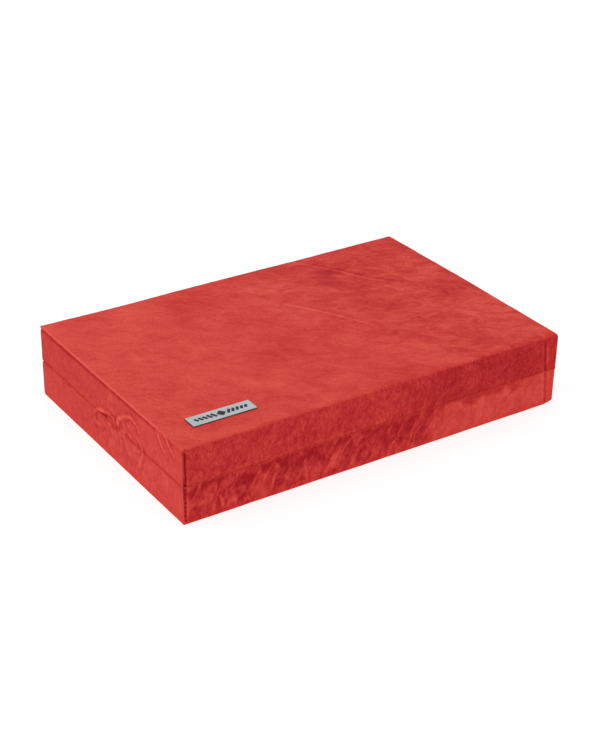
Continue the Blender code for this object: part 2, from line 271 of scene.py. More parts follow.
fibres = shown(reckon(velour, "ADD", swing(pile, 0.5), swing(tufts, 0.42)), "grain")
uneven = reckon(velour, "ADD", shown(swing(strokes, 1.9), "strokes"), shown(swing(smudges, 1.3), "smudges"))
shade = ramp(velour, reckon(velour, "ADD", held["nap_and_shading"], reckon(velour, "ADD", fibres, uneven)), NAP_AND_SHADING_STOPS)
full = add(velour, "ShaderNodeMix", data_type="RGBA")
join(velour, held["edge"], full.inputs["Factor"])
join(velour, shade, full.inputs[6])
full.inputs[7].default_value = (*TIGHT_AND_RIM_LIT_CLOTH, 1)
join(velour, full.outputs[2], velour_surface.inputs["Base Color"])
emboss(velour, velour_surface, reckon(velour, "ADD", pile, tufts), 0.20, 0.0006)


def smooth(start, end, value):
    """0 before start, 1 past end, and an easy slope between them."""
    share = max(0.0, min(1.0, (value - start) / (end - start)))
    return share * share * (3 - 2 * share)


def clamp(value, limit):
    return max(-limit, min(limit, value))


def swell(distance, width):
    return math.exp(-((distance / width) ** 2))


def cloudy(x, y, z, size, octaves=3):
    """Cloudy noise from -1 to 1, with clouds of a size in metres."""
    return noise.fractal(Vector((x, y, z)) / size, 0.8, 2.0, octaves, noise_basis="PERLIN_ORIGINAL")


def to_object(bm, name, finish, body):
    """A finished mesh as a smooth piece at the origin, riding on a body."""
    mesh = bpy.data.meshes.new(name)
    bm.to_mesh(mesh)
    bm.free()
    mesh.shade_smooth()
    made = bpy.data.objects.new(name, mesh)
    bpy.context.scene.collection.objects.link(made)
    mesh.materials.append(finish)
    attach(made, body)
    return made


# ---------------------------------------------------------------------------
# The two velour covers. Each is cut as a flat blank, sewn at its four corners,
# pulled over the boards and turned in over the rim. The seams lie on the front
# and the back face, close to the corner at the left and further in at the
# right, and the two rims meet half way up the case.
CLOTH = 0.0016
SPACING, ROWS = 0.0017, 34
RIM_ROLL = 0.0004
RIM_PLUSH = 0.00027  # how far the pile stands up from each rim, to meet the other
TURNED_EDGE = 0.0005
LEFT_ROUND, MIDDLE_ROUND, RIGHT_ROUND = 0.0028, 0.0046, 0.0056
CORNER_SQUARENESS = 8
BOTTOM_ROUND, BOTTOM_RIGHT_ROUND = 0.0002, 0.0036
INNER_TOP, INNER_BOTTOM = 0.0738, 0.0045
LEFT_SEAM, RIGHT_SEAM, RIGHT_SEAM_LEAN = 0.0021, 0.0134, 0.09  # in from the ends, at half height
STITCH_PITCH = 0.0045
HINGE_PLACE, NOTCH_HALF, NOTCH_DEPTH, NOTCH_SIDE = 0.120, 0.0165, 0.0019, 0.0004
BEVEL_FROM, BEVEL_FALL = 0.138, math.tan(math.radians(50))
SEAM_RIDGE_END = -0.090  # where the raised top-left seam turns down into two folds
PUFF_BACK, PUFF_RIGHT = 0.0013, 0.0010  # how far the padded top swells
# The last number of each of these three rows says how much lighter each crest and darker each valley is
# painted: painted highlight and shade.
CREASE_WIDTH, CREASE_RISE, CREASE_PAINTED_SHADING = 0.0020, 0.0008, 0.30
FOLD_WIDTH, FOLD_RISE, FOLD_PAINTED_SHADING = 0.0018, 0.0011, 0.45
GATHER_RISE, GATHER_PAINTED_SHADING = 0.0006, 0.42

lid_low, lid_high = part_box("lid_cover")
base_low, base_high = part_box("base_cover")
x_out, y_out = lid_high.x, lid_high.y
lining_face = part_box("base_wall_lining")[1]
x_inside, y_inside = lining_face.x - 0.001, lining_face.y - 0.001

TOP_CREASES = (
    ((0.081, 0.132), (0.096, 0.108), (0.110, 0.085), (0.124, 0.057), (0.144, 0.033)),
    ((0.018, 0.052), (0.036, 0.023), (0.051, -0.004), (0.068, -0.037)),
)
END_FOLDS = (  # on the left end, (y, height) along each one, and how much it shows
    (((-0.094, 0.0735), (-0.100, 0.067), (-0.106, 0.061), (-0.113, 0.056)), 1.0),
    (((-0.109, 0.0745), (-0.118, 0.069), (-0.125, 0.063)), 1.0),
    (((0.030, 0.031), (0.024, 0.037), (0.014, 0.042),
      (-0.002, 0.046), (-0.012, 0.045), (-0.015, 0.039)), 0.9),
    (((0.027, 0.027), (0.020, 0.0245), (0.010, 0.026)), 0.6),
    (((-0.018, 0.040), (-0.022, 0.049), (-0.034, 0.058),
      (-0.048, 0.063), (-0.058, 0.061), (-0.062, 0.055)), 0.9),
    (((-0.060, 0.048), (-0.066, 0.041), (-0.068, 0.034), (-0.060, 0.020), (-0.055, 0.012)), 0.7),
)


def round_of(x):
    """The radius of the padded edges, small at the left end and growing to the right."""
    return (LEFT_ROUND + (MIDDLE_ROUND - LEFT_ROUND) * smooth(-0.205, -0.12, x)
            + (RIGHT_ROUND - MIDDLE_ROUND) * smooth(0.12, 0.2, x))


def rounded(place, top):
    """A place on the square box, moved to the padded one. The upright corners are
    squarer than the top's edge."""
    radius = round_of(place.x)
    core = Vector((clamp(place.x, x_out - radius), clamp(place.y, y_out - radius),
                   min(place.z, top - radius)))
    away = place - core
    across = (abs(away.x) ** CORNER_SQUARENESS + abs(away.y) ** CORNER_SQUARENESS) ** (1 / CORNER_SQUARENESS)
    reach = math.hypot(across, away.z)
    return core + away * (radius / reach) if reach > radius else place


def toward(home, depth):
    """A place on the wall's outer face, moved into the wall by a depth."""
    radius = round_of(home.x)
    core = Vector((clamp(home.x, x_out - radius), clamp(home.y, y_out - radius), home.z))
    return core + (home - core) * ((radius - depth) / radius)


def walled_grid(z_low, z_high, with_top):
    """The walls of a box, with its top or open, as a fine grid that is closest at the edges."""
    bm = bmesh.new()
    for layer_name in ("skin", *PILE_LAYERS):
        bm.verts.layers.float.new(layer_name)
    bmesh.ops.create_cube(bm, size=2)
    left_out = [f for f in bm.faces if f.normal.z < -0.5 or (f.normal.z > 0.5 and not with_top)]
    bmesh.ops.delete(bm, geom=left_out, context="FACES_ONLY")
    for axis, cuts in enumerate((round(2 * x_out / SPACING), round(2 * y_out / SPACING), ROWS)):
        along = [e for e in bm.edges if abs((e.verts[0].co - e.verts[1].co)[axis]) > 1e-6]
        bmesh.ops.subdivide_edges(bm, edges=along, cuts=cuts, use_grid_fill=True)
    for vert in bm.verts:
        eased = [0.45 * part + 0.55 * math.sin(part * math.pi / 2) for part in vert.co]
        vert.co = (eased[0] * x_out, eased[1] * y_out, z_low + (eased[2] + 1) / 2 * (z_high - z_low))
    cuts = [place + side * NOTCH_HALF + step * NOTCH_SIDE
            for place in (-HINGE_PLACE, HINGE_PLACE) for side in (-1, 1) for step in (0, side)]
    cuts += [-x_out + LEFT_SEAM + step * 0.0004 for step in range(-4, 5)]
    cuts += [x_out - RIGHT_SEAM + step * 0.0006 for step in range(-7, 8)]
    for x in cuts:
        bmesh.ops.bisect_plane(bm, geom=bm.verts[:] + bm.edges[:] + bm.faces[:], dist=1e-5,
                               plane_co=(x, 0, 0), plane_no=(1, 0, 0))
    skin = bm.verts.layers.float["skin"]
    for vert in bm.verts:
        vert[skin] = 1.0
    return bm


def border(bm, highest):
    """The open border at the top or the bottom, each vert with its place on the wall's face."""
    edge_verts = [v for v in bm.verts if v.is_boundary]
    z = (max if highest else min)(v.co.z for v in edge_verts)
    return {v: v.co.copy() for v in edge_verts if abs(v.co.z - z) < 1e-5}


def extend(bm, chain, skin_weight, move):
    """Extrudes an open border. move(home, place) says where each new vert goes."""
    skin = bm.verts.layers.float["skin"]
    edges = {e for v in chain for e in v.link_edges if e.is_boundary and e.other_vert(v) in chain}
    made = bmesh.ops.extrude_edge_only(bm, edges=list(edges))["geom"]
    grown = {}
    for vert in made:
        if isinstance(vert, bmesh.types.BMVert):
            grown[vert] = next(chain[e.other_vert(vert)] for e in vert.link_edges
                               if e.other_vert(vert) in chain)
            vert.co = move(grown[vert], vert.co)
            vert[skin] = skin_weight
    return grown


def in_notch(home):
    """Whether a column of the wall is cut down to clear a hinge."""
    return home.y > y_out - 0.001 and abs(abs(home.x) - HINGE_PLACE) < NOTCH_HALF + NOTCH_SIDE / 2


def turn_in(bm, chain, rim_z, way):
    """Rolls the cloth over a rim, turns it in to the lining and brings its underside
    back to the wall. way is 1 where the rim looks up and -1 where it looks down."""

    def at(home, depth, height, share=0.0):
        if in_notch(home):
            place, height = toward(home, min(depth, CLOTH)), min(height, -NOTCH_DEPTH)
            share = 0.0
        else:
            place = toward(home, depth)
        inner = Vector((clamp(home.x, x_inside), clamp(home.y, y_inside), 0))
        place = place.lerp(inner, share)
        place.z = rim_z + way * height
        return place

    for step in (30, 60, 90):
        angle = math.radians(step)
        depth, height = RIM_ROLL * (1 - math.cos(angle)), RIM_ROLL * (math.sin(angle) - 1)
        chain = extend(bm, chain, 1.0, lambda home, _: at(home, depth, height))
    for share, height in ((0.16, 0), (0.5, 0), (0.93, 0), (1, -TURNED_EDGE), (1, -CLOTH)):
        chain = extend(bm, chain, 0.4 * (1 - share), lambda home, _: at(home, RIM_ROLL, height, share))
    return extend(bm, chain, 0.0, lambda home, _: at(home, CLOTH, -CLOTH))


def trim_back(bm, rim_z, way):
    """Cuts the back rim to its slope, so that the lid can open, and to the hinge notches."""
    for vert in bm.verts:
        over = max(0.0, vert.co.y - BEVEL_FROM) * BEVEL_FALL
        if in_notch(vert.co):
            over = max(over, NOTCH_DEPTH)
        if over > 0 and way * (vert.co.z - rim_z) > -over:
            vert.co.z = rim_z - way * over


def right_seam(z):
    """Where the right corner seam is at a height. It leans a little out toward the bottom."""
    return x_out - RIGHT_SEAM - RIGHT_SEAM_LEAN * (z - base_high.z)


def seam_at(place):
    """(distance to the nearer corner seam, along the front or the back; whether it is the left one)."""
    stray = 0.0004 * noise.noise(Vector((0, place.y, place.z * 160)))
    from_left, from_right = place.x + x_out - LEFT_SEAM, right_seam(place.z) - place.x
    if abs(from_left) < abs(from_right):
        return from_left + stray, True
    return from_right + stray, False


def path_distance(x, y, path):
    """(distance, share of the way) from a point to the nearest stretch of a path."""
    best = (1e9, 0.0)
    for index, (start, end) in enumerate(zip(path, path[1:])):
        dx, dy = end[0] - start[0], end[1] - start[1]
        t = max(0.0, min(1.0, ((x - start[0]) * dx + (y - start[1]) * dy) / (dx * dx + dy * dy)))
        px, py = x - start[0] - t * dx, y - start[1] - t * dy
        distance = math.hypot(px, py)
        if distance < abs(best[0]):
            best = (math.copysign(distance, dx * py - dy * px), (index + t) / (len(path) - 1))
    return best


def crease(x, y, path, width):
    """A fold's profile here: a ridge of 1 with a valley on each side, fading out at both ends."""
    distance, share = path_distance(x, y, path)
    if abs(distance) > 5 * width:
        return 0.0
    fade = math.sin(math.pi * (0.06 + 0.88 * share)) ** 0.5
    fade *= 1 + 0.3 * noise.noise(Vector((x * 160, y * 160, 7)))
    return fade * (swell(distance, width) - 0.75 * swell(distance - 1.9 * width, width)
                   - 0.45 * swell(distance + 1.9 * width, width))


def stitch_wave(z):
    """1 at each stitch hole up the seam and 0 between them."""
    return max(0.0, math.cos(2 * math.pi * z / STITCH_PITCH)) ** 2


def wrinkles(place, normal):
    """(how far the cloth stands out from the plain box, how much lighter its nap is painted there: painted
    highlights on crests, ridges and lips and along the rims, painted shade in valleys, grooves and seams).
    """
    x, y, z = place
    top, side, face = max(0.0, normal.z) ** 2, normal.x ** 2, normal.y ** 2
    on_lid = z > base_high.z
    out, painted_shading = 0.00028 * cloudy(x, y, z, 0.050) + 0.00009 * cloudy(x, y, z, 0.009), 0.0
    if on_lid and top > 0.02:
        puffed = (PUFF_BACK * smooth(-0.16, -0.02, x) * smooth(-0.12, 0.0, y)
                  + PUFF_RIGHT * smooth(0.09, 0.2, x))
        out += puffed * math.sqrt(top)
        # Each crease is raised, and painted lighter on its crest and darker in its valleys: painted highlight
        # and shade.
        for path in TOP_CREASES:
            height = top * crease(x, y, path, CREASE_WIDTH)
            out, painted_shading = out + CREASE_RISE * height, painted_shading + CREASE_PAINTED_SHADING * height
    if on_lid and x < -x_out + 0.010 and z > lid_high.z - 0.010:
        # Round the top-left edge, counted from the corner: over the top, then down the end.
        round_edge = (x + x_out) - (lid_high.z - z)
        keep = 0.25 + 0.75 * smooth(SEAM_RIDGE_END - 0.012, SEAM_RIDGE_END, y)
        keep *= 1 + 0.5 * noise.noise(Vector((0, y * 110, 3)))
        ridge, groove = swell(round_edge + 0.0002, 0.0012), swell(round_edge + 0.0034, 0.0017)
        # The raised seam ridge is painted lighter and the groove below it darker: painted highlight and
        # shade.
        out += keep * (0.0007 * ridge - 0.0008 * groove)
        painted_shading += keep * (0.50 * ridge - 0.40 * groove)
    if side > 0.02 and x < 0:
        stray_y, stray_z = (0.0016 * noise.noise(Vector((y, z, shift)) * 150) for shift in (0, 0.1))
        # Each fold and the gathered bumps are raised, and painted lighter on their crests and darker in their
        # valleys: painted highlight and shade.
        for path, strength in END_FOLDS:
            height = side * strength * crease(y + stray_y, z + stray_z, path, FOLD_WIDTH)
            out, painted_shading = out + FOLD_RISE * height, painted_shading + FOLD_PAINTED_SHADING * height
        gather = side * swell(y + 0.022, 0.055) * swell(z - 0.036, 0.024)
        bumps = cloudy(x, y, z, 0.0070, 3)
        out, painted_shading = out + GATHER_RISE * gather * bumps, painted_shading + GATHER_PAINTED_SHADING * gather * bumps
    rim = abs(z - base_high.z)
    if top < 0.5:
        # The folds end before the rims, and the pile along them is painted lighter: a painted highlight
        # against the shade of the gap.
        out, painted_shading = out * smooth(-0.001, 0.004, rim), painted_shading + 0.16 * swell(rim, 0.0013)
    if face > 0.02:
        # The slit of each corner seam, its stitch holes and the knot where the seams meet at the rims are
        # painted dark: painted shade in the recess. The lips beside it are painted lighter: a painted
        # highlight.
        distance, at_left = seam_at(place)
        shown = smooth(0.0005, 0.004, z) * (1 - smooth(lid_high.z - 0.005, lid_high.z - 0.003, z))
        if on_lid and at_left:
            width, depth, seam_shade = 0.0011, 0.0021, 1.5
        elif at_left:
            width, depth, seam_shade = 0.0009, 0.0004 + 0.0012 * stitch_wave(z), 0.3 + 1.2 * stitch_wave(z)
        else:
            width, depth, seam_shade = 0.0014, 0.0005, 0.34 + 0.25 * noise.noise(Vector((3, y, z * 140)))
        slit, lips = swell(distance, width), swell(abs(distance) - 2.4 * width, 1.3 * width)
        knot = swell(distance, 0.0014) * swell(rim, 0.0020) if at_left else 0.0
        out += face * (shown * (0.00035 * lips - depth * slit) - 0.0008 * knot)
        painted_shading += face * (shown * (0.14 * lips - seam_shade * slit) - 0.7 * knot)
        out += face * 0.00022 * noise.noise(Vector((x * 85, 0, z * 22))) * smooth(-0.001, 0.004, rim)
    if side > 0.02 and x > 0:
        out += side * (0.0004 if on_lid else -0.0002)
    return out, painted_shading


def by_right_corner(x, y, z):
    """1 on the strip of wall from the right corner seam round the corner, and 0 away from it."""
    return (smooth(right_seam(z) - 0.0005, right_seam(z) + 0.0015, x)
            * smooth(y_out - 0.013, y_out - 0.004, abs(y)))


def lid_pile(place, normal):
    """The state of the lid's pile here, in the order of PILE_LAYERS."""
    x, y, z = place
    ragged = 0.20 - 0.13 * smooth(-0.05, 0.05, x)
    top = smooth(0.32, 0.88, normal.z + ragged * cloudy(x, y, z, 0.018, 3))
    along, across = 0.83 * x - 0.56 * y, 0.56 * x + 0.83 * y
    back_right = smooth(-0.05, 0.14, x + 0.5 * y)
    lean_top = 0.66 + (0.10 + 0.06 * back_right) * cloudy(x, y, 0, 0.070, 3)
    lean_top += (0.11 + 0.04 * back_right) * cloudy(0.5 * along, across, 0.4, 0.022, 4)
    lean_top += 0.08 * smooth(-0.02, -0.16, x) - 0.08 * smooth(0.02, 0.14, x * 0.6 + y)
    if abs(normal.x) > abs(normal.y):
        lean_side = 0.44 + 0.15 * smooth(0.10, -0.10, y) + 0.08 * cloudy(x, y, z, 0.022, 3)
        grain, stroked = 0.6, 0.10
    elif normal.y < 0:
        lean_side = 0.39 - 0.15 * smooth(-0.01, 0.08, x) + 0.09 * cloudy(x, y, z, 0.022, 3)
        # A painted highlight along the lid's rolled lower edge, on the left of the front.
        lean_side += 0.10 * swell(z - lid_low.z - 0.001, 0.003) * smooth(0.03, -0.03, x)
        grain, stroked = 1.0, 0.18
    else:
        lean_side, grain, stroked = 0.42 + 0.12 * cloudy(x, y, z, 0.025, 3), 1.0, 0.25
    # The strip round the right corner is painted a little darker, with bright streaks that are painted
    # highlights on the rounded corner.
    strip = by_right_corner(x, y, z)
    highlight_streaks = noise.noise(Vector((x * 700, y * 700, z * 45)))
    lean_side += strip * (-0.16 + 0.9 * max(0.0, highlight_streaks))
    patchy = 0.5 + 0.5 * cloudy(x, y, z, 0.030, 2)
    # Along the back and right edges of the top and on the right corner strip the cloth shows its full colour:
    # partly pulled tight there, partly painted rim light.
    tight_and_rim_lit = max(
        (0.3 + 0.5 * patchy) * smooth(y_out - 0.006, y_out - 0.001, y) * top,
        (0.3 + 0.5 * patchy) * smooth(x_out - 0.008, x_out - 0.0015, x) * top,
        strip * (0.25 + 0.35 * top),
    )
    return (
        lean_side + (lean_top - lean_side) * top,
        grain + (0.5 - grain) * top,
        stroked * (1 - top),
        (0.25 + 0.25 * back_right) * top,
        tight_and_rim_lit,
    )


def base_pile(place, normal):
    """The state of the base's pile here, in the order of PILE_LAYERS."""
    x, y, z = place
    # Full colour along the bottom band and the right corner strip: partly the cloth pulled tight, partly
    # painted rim light.
    low = z + 0.0035 * cloudy(x, y, 0, 0.016, 2)
    strip = by_right_corner(x, y, z)
    if abs(normal.x) > abs(normal.y):
        lean = 0.49 + 0.10 * smooth(0.10, -0.10, y) + 0.08 * cloudy(x, y, z, 0.022, 3)
        return lean, 0.6, 0.10, 0.0, max(0.5 * (1 - smooth(0.001, 0.012, low)), 0.4 * strip)
    if normal.y > 0:
        lean = 0.45 + 0.12 * cloudy(x, y, z, 0.022, 3)
        return lean, 1.0, 0.25, 0.0, 0.4 * (1 - smooth(0.0, 0.008, low))
    flat = smooth(0.030, 0.085, x + 0.022 * cloudy(x, y, z, 0.016, 2))
    # Just under the rim on the right of the front the nap is darker: painted shade under the lid's edge.
    shade_under_rim = smooth(0.029, 0.035, z + 0.010 * cloudy(x, y, z, 0.009, 3)) * smooth(0.185, 0.13, x)
    lean_brushed = 0.37 + 0.10 * cloudy(x, y, z, 0.028, 3) - 0.20 * smooth(0.016, 0.034, z)
    lean_flat = 0.66 + 0.06 * cloudy(x, y, z, 0.016, 3) - 0.36 * shade_under_rim
    return (
        lean_brushed + (lean_flat - lean_brushed) * flat,
        0.78 - 0.22 * flat,
        0.56 - 0.37 * flat,
        0.0,
        max(0.5 * (1 - smooth(0.0, 0.008, low)), 0.4 * strip),
    )


def finish_cover(bm, pile_at, way):
    """Merges the mesh, turns its faces out, raises the wrinkles, paints their highlights and shade into the
    nap and stores the pile's state.
    """
    bmesh.ops.remove_doubles(bm, verts=bm.verts, dist=1e-5)
    bmesh.ops.dissolve_degenerate(bm, edges=bm.edges, dist=1e-6)
    bmesh.ops.recalc_face_normals(bm, faces=bm.faces)
    bm.normal_update()
    skin = bm.verts.layers.float["skin"]
    layers = [bm.verts.layers.float[name] for name in PILE_LAYERS]
    moves = []
    for vert in bm.verts:
        state = pile_at(vert.co, vert.normal)
        for layer, value in zip(layers, state):
            vert[layer] = value
        if vert[skin] > 0.9:
            out, painted_shading = wrinkles(vert.co, vert.normal)
            # The painted highlights and shade of the wrinkles and seams go into the nap, and painted shade
            # also dims the full colour.
            vert[layers[0]] += painted_shading
            vert[layers[-1]] *= max(0.0, min(1.0, 1 + 2 * painted_shading))
            from_rim = vert.co.z - base_high.z
            from_slope = smooth(BEVEL_FROM - 0.001, BEVEL_FROM, vert.co.y) * swell(from_rim, 0.006)
            move = vert.normal * out
            move.z += way * RIM_PLUSH * smooth(0.2, 0.9, way * vert.normal.z) * swell(from_rim, 0.002)
            moves.append((vert, move * (1 - from_slope)))
    for vert, move in moves:
        vert.co += move
    bm.verts.layers.float.remove(skin)


# The lid's cover: walls and top in one, closed by its back against the boards.
bm = walled_grid(lid_low.z + RIM_ROLL, lid_high.z, True)
for vert in bm.verts:
    vert.co = rounded(vert.co, lid_high.z)
chain = turn_in(bm, border(bm, False), lid_low.z, -1)
chain = extend(bm, chain, 0.0, lambda home, place: Vector((*toward(home, CLOTH).xy, INNER_TOP)))
trim_back(bm, lid_low.z, -1)
bmesh.ops.contextual_create(bm, geom=[e for e in bm.edges if e.is_boundary])
finish_cover(bm, lid_pile, -1)
lid_velour = to_object(bm, "lid_velour", velour, "lid")
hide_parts("lid_cover")

# The base's cover: four walls, turned in over the rim, and ending at the bottom edge.
bm = walled_grid(base_low.z, base_high.z - RIM_ROLL, False)
for vert in bm.verts:
    vert.co = rounded(vert.co, 1.0)
chain = turn_in(bm, border(bm, True), base_high.z, 1)
chain = extend(bm, chain, 0.0, lambda home, place: Vector((*toward(home, CLOTH).xy, INNER_BOTTOM)))
trim_back(bm, base_high.z, 1)
skin = bm.verts.layers.float["skin"]
for vert in bm.verts:
    at_right = smooth(x_out - 0.012, x_out - 0.001, vert.co.x)
    tuck = BOTTOM_ROUND + (BOTTOM_RIGHT_ROUND - BOTTOM_ROUND) * at_right
    up = vert.co.z - base_low.z
    if vert[skin] > 0.9 and up < tuck:
        vert.co = toward(vert.co, tuck - math.sqrt(tuck ** 2 - (tuck - up) ** 2))
bmesh.ops.bridge_loops(bm, edges=[e for e in bm.edges if e.is_boundary])
finish_cover(bm, base_pile, 1)
base_velour = to_object(bm, "base_velour", velour, "base")
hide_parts("base_cover")

# ---------------------------------------------------------------------------
# The pile at the rims. Where the cloth turns over each rim its pile stands out
# in short tufts, and the tufts of the two halves hide most of the gap.
TUFT_PITCH, TUFT_LENGTH, TUFT_THICK = 0.00036, (0.0012, 0.0026), 0.00026
TUFTS_AT_ONCE = 60


def rim_tufts(name, rim_z, way, pile_at, body):
    """Tufts along the front and the two ends of a rim. way is 1 where it looks up."""
    random.seed(17 + way)
    grown = bmesh.new()
    locks = bpy.data.meshes.new("locks")
    for start, end, outward in (
        (Vector((-x_out, y_out - 0.004, 0)), Vector((-x_out, -y_out + 0.001, 0)), Vector((-1, 0, 0))),
        (Vector((-x_out + 0.001, -y_out, 0)), Vector((x_out - 0.001, -y_out, 0)), Vector((0, -1, 0))),
        (Vector((x_out, -y_out + 0.001, 0)), Vector((x_out, y_out - 0.004, 0)), Vector((1, 0, 0))),
    ):
        along = (end - start).normalized()
        count = int((end - start).length / TUFT_PITCH)
        for first in range(0, count, TUFTS_AT_ONCE):
            bm = bmesh.new()
            layers = [bm.verts.layers.float.new(layer_name) for layer_name in PILE_LAYERS]
            for step in range(first, min(first + TUFTS_AT_ONCE, count)):
                length = random.uniform(*TUFT_LENGTH)
                lie = (Vector((0, 0, way)) + random.uniform(-0.04, 0.10) * outward
                       + random.uniform(-0.4, 0.4) * along)
                lie.normalize()
                root = start + along * (step + random.random()) * TUFT_PITCH + outward * 0.00008
                root.z = rim_z - way * random.uniform(0.0002, 0.0013)
                turn = lie.to_track_quat("Z", "Y").to_matrix().to_4x4()
                made = bmesh.ops.create_cone(
                    bm, cap_ends=True, segments=4, radius1=TUFT_THICK, radius2=TUFT_THICK * 0.35,
                    depth=length, matrix=Matrix.Translation(root + lie * (length / 2)) @ turn)["verts"]
                state = list(pile_at(Vector((root.x, root.y, rim_z - way * 0.002)), outward))
                # The tufts are painted lighter and in full colour: a painted highlight against the shade
                # among them.
                state[0] += random.uniform(0.10, 0.38)
                state[-1] = max(state[-1], 0.5)
                for vert in made:
                    for layer, value in zip(layers, state):
                        vert[layer] = value
            bm.to_mesh(locks)
            bm.free()
            grown.from_mesh(locks)
    return to_object(grown, name, velour, body)


rim_tufts("lid_rim_pile", lid_low.z, -1, lid_pile, "lid")
rim_tufts("base_rim_pile", base_high.z, 1, base_pile, "base")

# ---------------------------------------------------------------------------
# Corner stitching. Waxed dark red thread, one lock stitch every few millimetres
# up each corner seam, drawn down into the seam between the two edges of cloth.
THREAD_COLOURS = ((0.10, 0.006, 0.010), (0.20, 0.014, 0.018))
THREAD = 0.00036
STITCH_LENGTH = 0.0028

thread, thread_surface = shader("seam_thread", 0.6)
paint(thread, thread_surface, noise_at(thread, 2500, 2), 0.3, 0.7, THREAD_COLOURS)


def stitch(bm, middle, way, length, thick):
    """One stitch of thread, lying along way."""
    turn = way.to_track_quat("Z", "Y").to_matrix().to_4x4()
    size = Matrix.Diagonal((thick, thick, length / 2, 1))
    bmesh.ops.create_uvsphere(bm, u_segments=8, v_segments=5, radius=1,
                              matrix=Matrix.Translation(middle) @ turn @ size)


for half, low, high, left_sunk in (
    ("lid", lid_low.z + 0.002, lid_high.z - 0.006, 0.0022),
    ("base", base_low.z + 0.002, base_high.z - 0.002, 0.0007),
):
    bm = bmesh.new()
    for index in range(int(low / STITCH_PITCH), int(high / STITCH_PITCH) + 1):
        z = (index + 0.5) * STITCH_PITCH
        for x, sunk in ((-x_out + LEFT_SEAM, left_sunk), (right_seam(z), 0.0008)):
            for side in (-1, 1):
                near_rim = side > 0 and abs(z - base_high.z) < 0.005
                if low < z < high and not near_rim:
                    stitch(bm, Vector((x, side * (y_out - sunk), z)), Vector((0.08, 0, 1)).normalized(),
                           STITCH_LENGTH, THREAD)
    to_object(bm, half + "_corner_stitches", thread, half)

# ---------------------------------------------------------------------------
# Name plate. A strip of brushed steel with softened corners, on a black adhesive
# pad a little larger than itself, whose black border round the plate is partly
# painted shadow at the plate's edge. Its face has a lozenge between two rows of
# slanted bars, filled with dark enamel.
PLATE_COLOURS = ((0.45, 0.48, 0.50), (0.64, 0.68, 0.70))
PAD_AND_SHADOW_COLOURS = ((0.010, 0.010, 0.011), (0.022, 0.021, 0.022))
ENAMEL_COLOURS = ((0.012, 0.020, 0.022), (0.022, 0.032, 0.034))
PAD_AND_SHADOW_MARGIN = 0.0005
ENAMEL_RISE = 0.00004

plate_low, plate_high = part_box("label_plate")
pad_low, pad_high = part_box("label_adhesive")
plate_middle = (plate_low + plate_high) / 2
steel, steel_surface = shader("brushed_plate", 0.38, Metallic=0.85)
lines = noise_at(steel, 1500, 3, (30, 1, 1))
paint(steel, steel_surface, lines, 0.3, 0.7, PLATE_COLOURS)
join(steel, reckon(steel, "MULTIPLY_ADD", lines, 0.2, 0.28), steel_surface.inputs["Roughness"])
emboss(steel, steel_surface, lines, 0.2, 0.00005)
pad_and_shadow, pad_and_shadow_surface = shader("adhesive_pad_and_shadow", 0.7)
paint(pad_and_shadow, pad_and_shadow_surface, noise_at(pad_and_shadow, 1200), 0.3, 0.7, PAD_AND_SHADOW_COLOURS)
enamel, enamel_surface = shader("dark_enamel", 0.6, Specular_IOR_Level=0.25)
paint(enamel, enamel_surface, noise_at(enamel, 900), 0.3, 0.7, ENAMEL_COLOURS)


def slab(bm, low, high, corner, softened):
    """A flat block with rounded corners and softened edges."""
    made = bmesh.ops.create_cube(bm, size=1)["verts"]
    bmesh.ops.scale(bm, vec=high - low, verts=made)
    bmesh.ops.translate(bm, vec=(low + high) / 2, verts=made)
    edges = {e for v in made for e in v.link_edges}
    upright = [e for e in edges if abs(e.verts[0].co.z - e.verts[1].co.z) > 1e-6]
    if corner:
        bmesh.ops.bevel(bm, geom=upright, offset=corner, affect="EDGES", segments=5, profile=0.5, material=-1)
    if softened:
        level_edges = [e for e in bm.edges if abs(e.verts[0].co.z - e.verts[1].co.z) < 1e-7
                       and abs(e.verts[0].co.z - high.z) < 1e-7]
        bmesh.ops.bevel(bm, geom=level_edges, offset=softened, affect="EDGES", segments=2, profile=0.5,
                        material=-1)


bm = bmesh.new()
slab(bm, plate_low, plate_high, 0.0007, 0.00012)
name_plate = to_object(bm, "name_plate", steel, "lid")
name_plate.data.shade_flat()
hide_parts("label_plate")

bm = bmesh.new()
margin = Vector((PAD_AND_SHADOW_MARGIN, PAD_AND_SHADOW_MARGIN, 0))
slab(bm, pad_low - margin - Vector((0, 0, 0.0004)), pad_high + margin, 0.0010, 0.0001)
plate_pad_and_shadow = to_object(bm, "plate_pad_and_shadow", pad_and_shadow, "lid")
plate_pad_and_shadow.data.shade_flat()
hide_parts("label_adhesive")

bm = bmesh.new()
face = plate_high.z + ENAMEL_RISE


def inlay(middle_x, middle_y, size_x, size_y, turn=0.0):
    """A flat piece of enamel on the plate's face."""
    place = Matrix.Translation((plate_middle.x + middle_x, plate_middle.y + middle_y, face - 0.0001))
    bmesh.ops.create_cube(bm, size=1, matrix=place @ Matrix.Rotation(turn, 4, "Z")
                          @ Matrix.Diagonal((size_x, size_y, 0.0002, 1)))


for side in (-1, 1):
    for step in range(5):
        inlay(side * (0.0076 + 0.0044 * step), 0, 0.0028, 0.0070 - 0.0005 * step, side * math.radians(-28))
inlay(0, 0, 0.0068, 0.0068, math.radians(45))
plate_enamel = to_object(bm, "plate_enamel", enamel, "lid")
plate_enamel.data.shade_flat()

# ---------------------------------------------------------------------------
# Linings. A thin flock-faced cloth, dull dark red. It is glued round the inner
# walls of both halves, over the floor, and over a soft wadding inside the lid,
# which is quilted in large diamonds.
FLOCK_COLOURS = ((0.150, 0.010, 0.014), (0.235, 0.018, 0.022))
LINING = 0.001
LINING_SPACING = 0.004
QUILT_PITCH, QUILT_RISE, QUILT_SEAM = 0.052, 0.0030, 0.0040

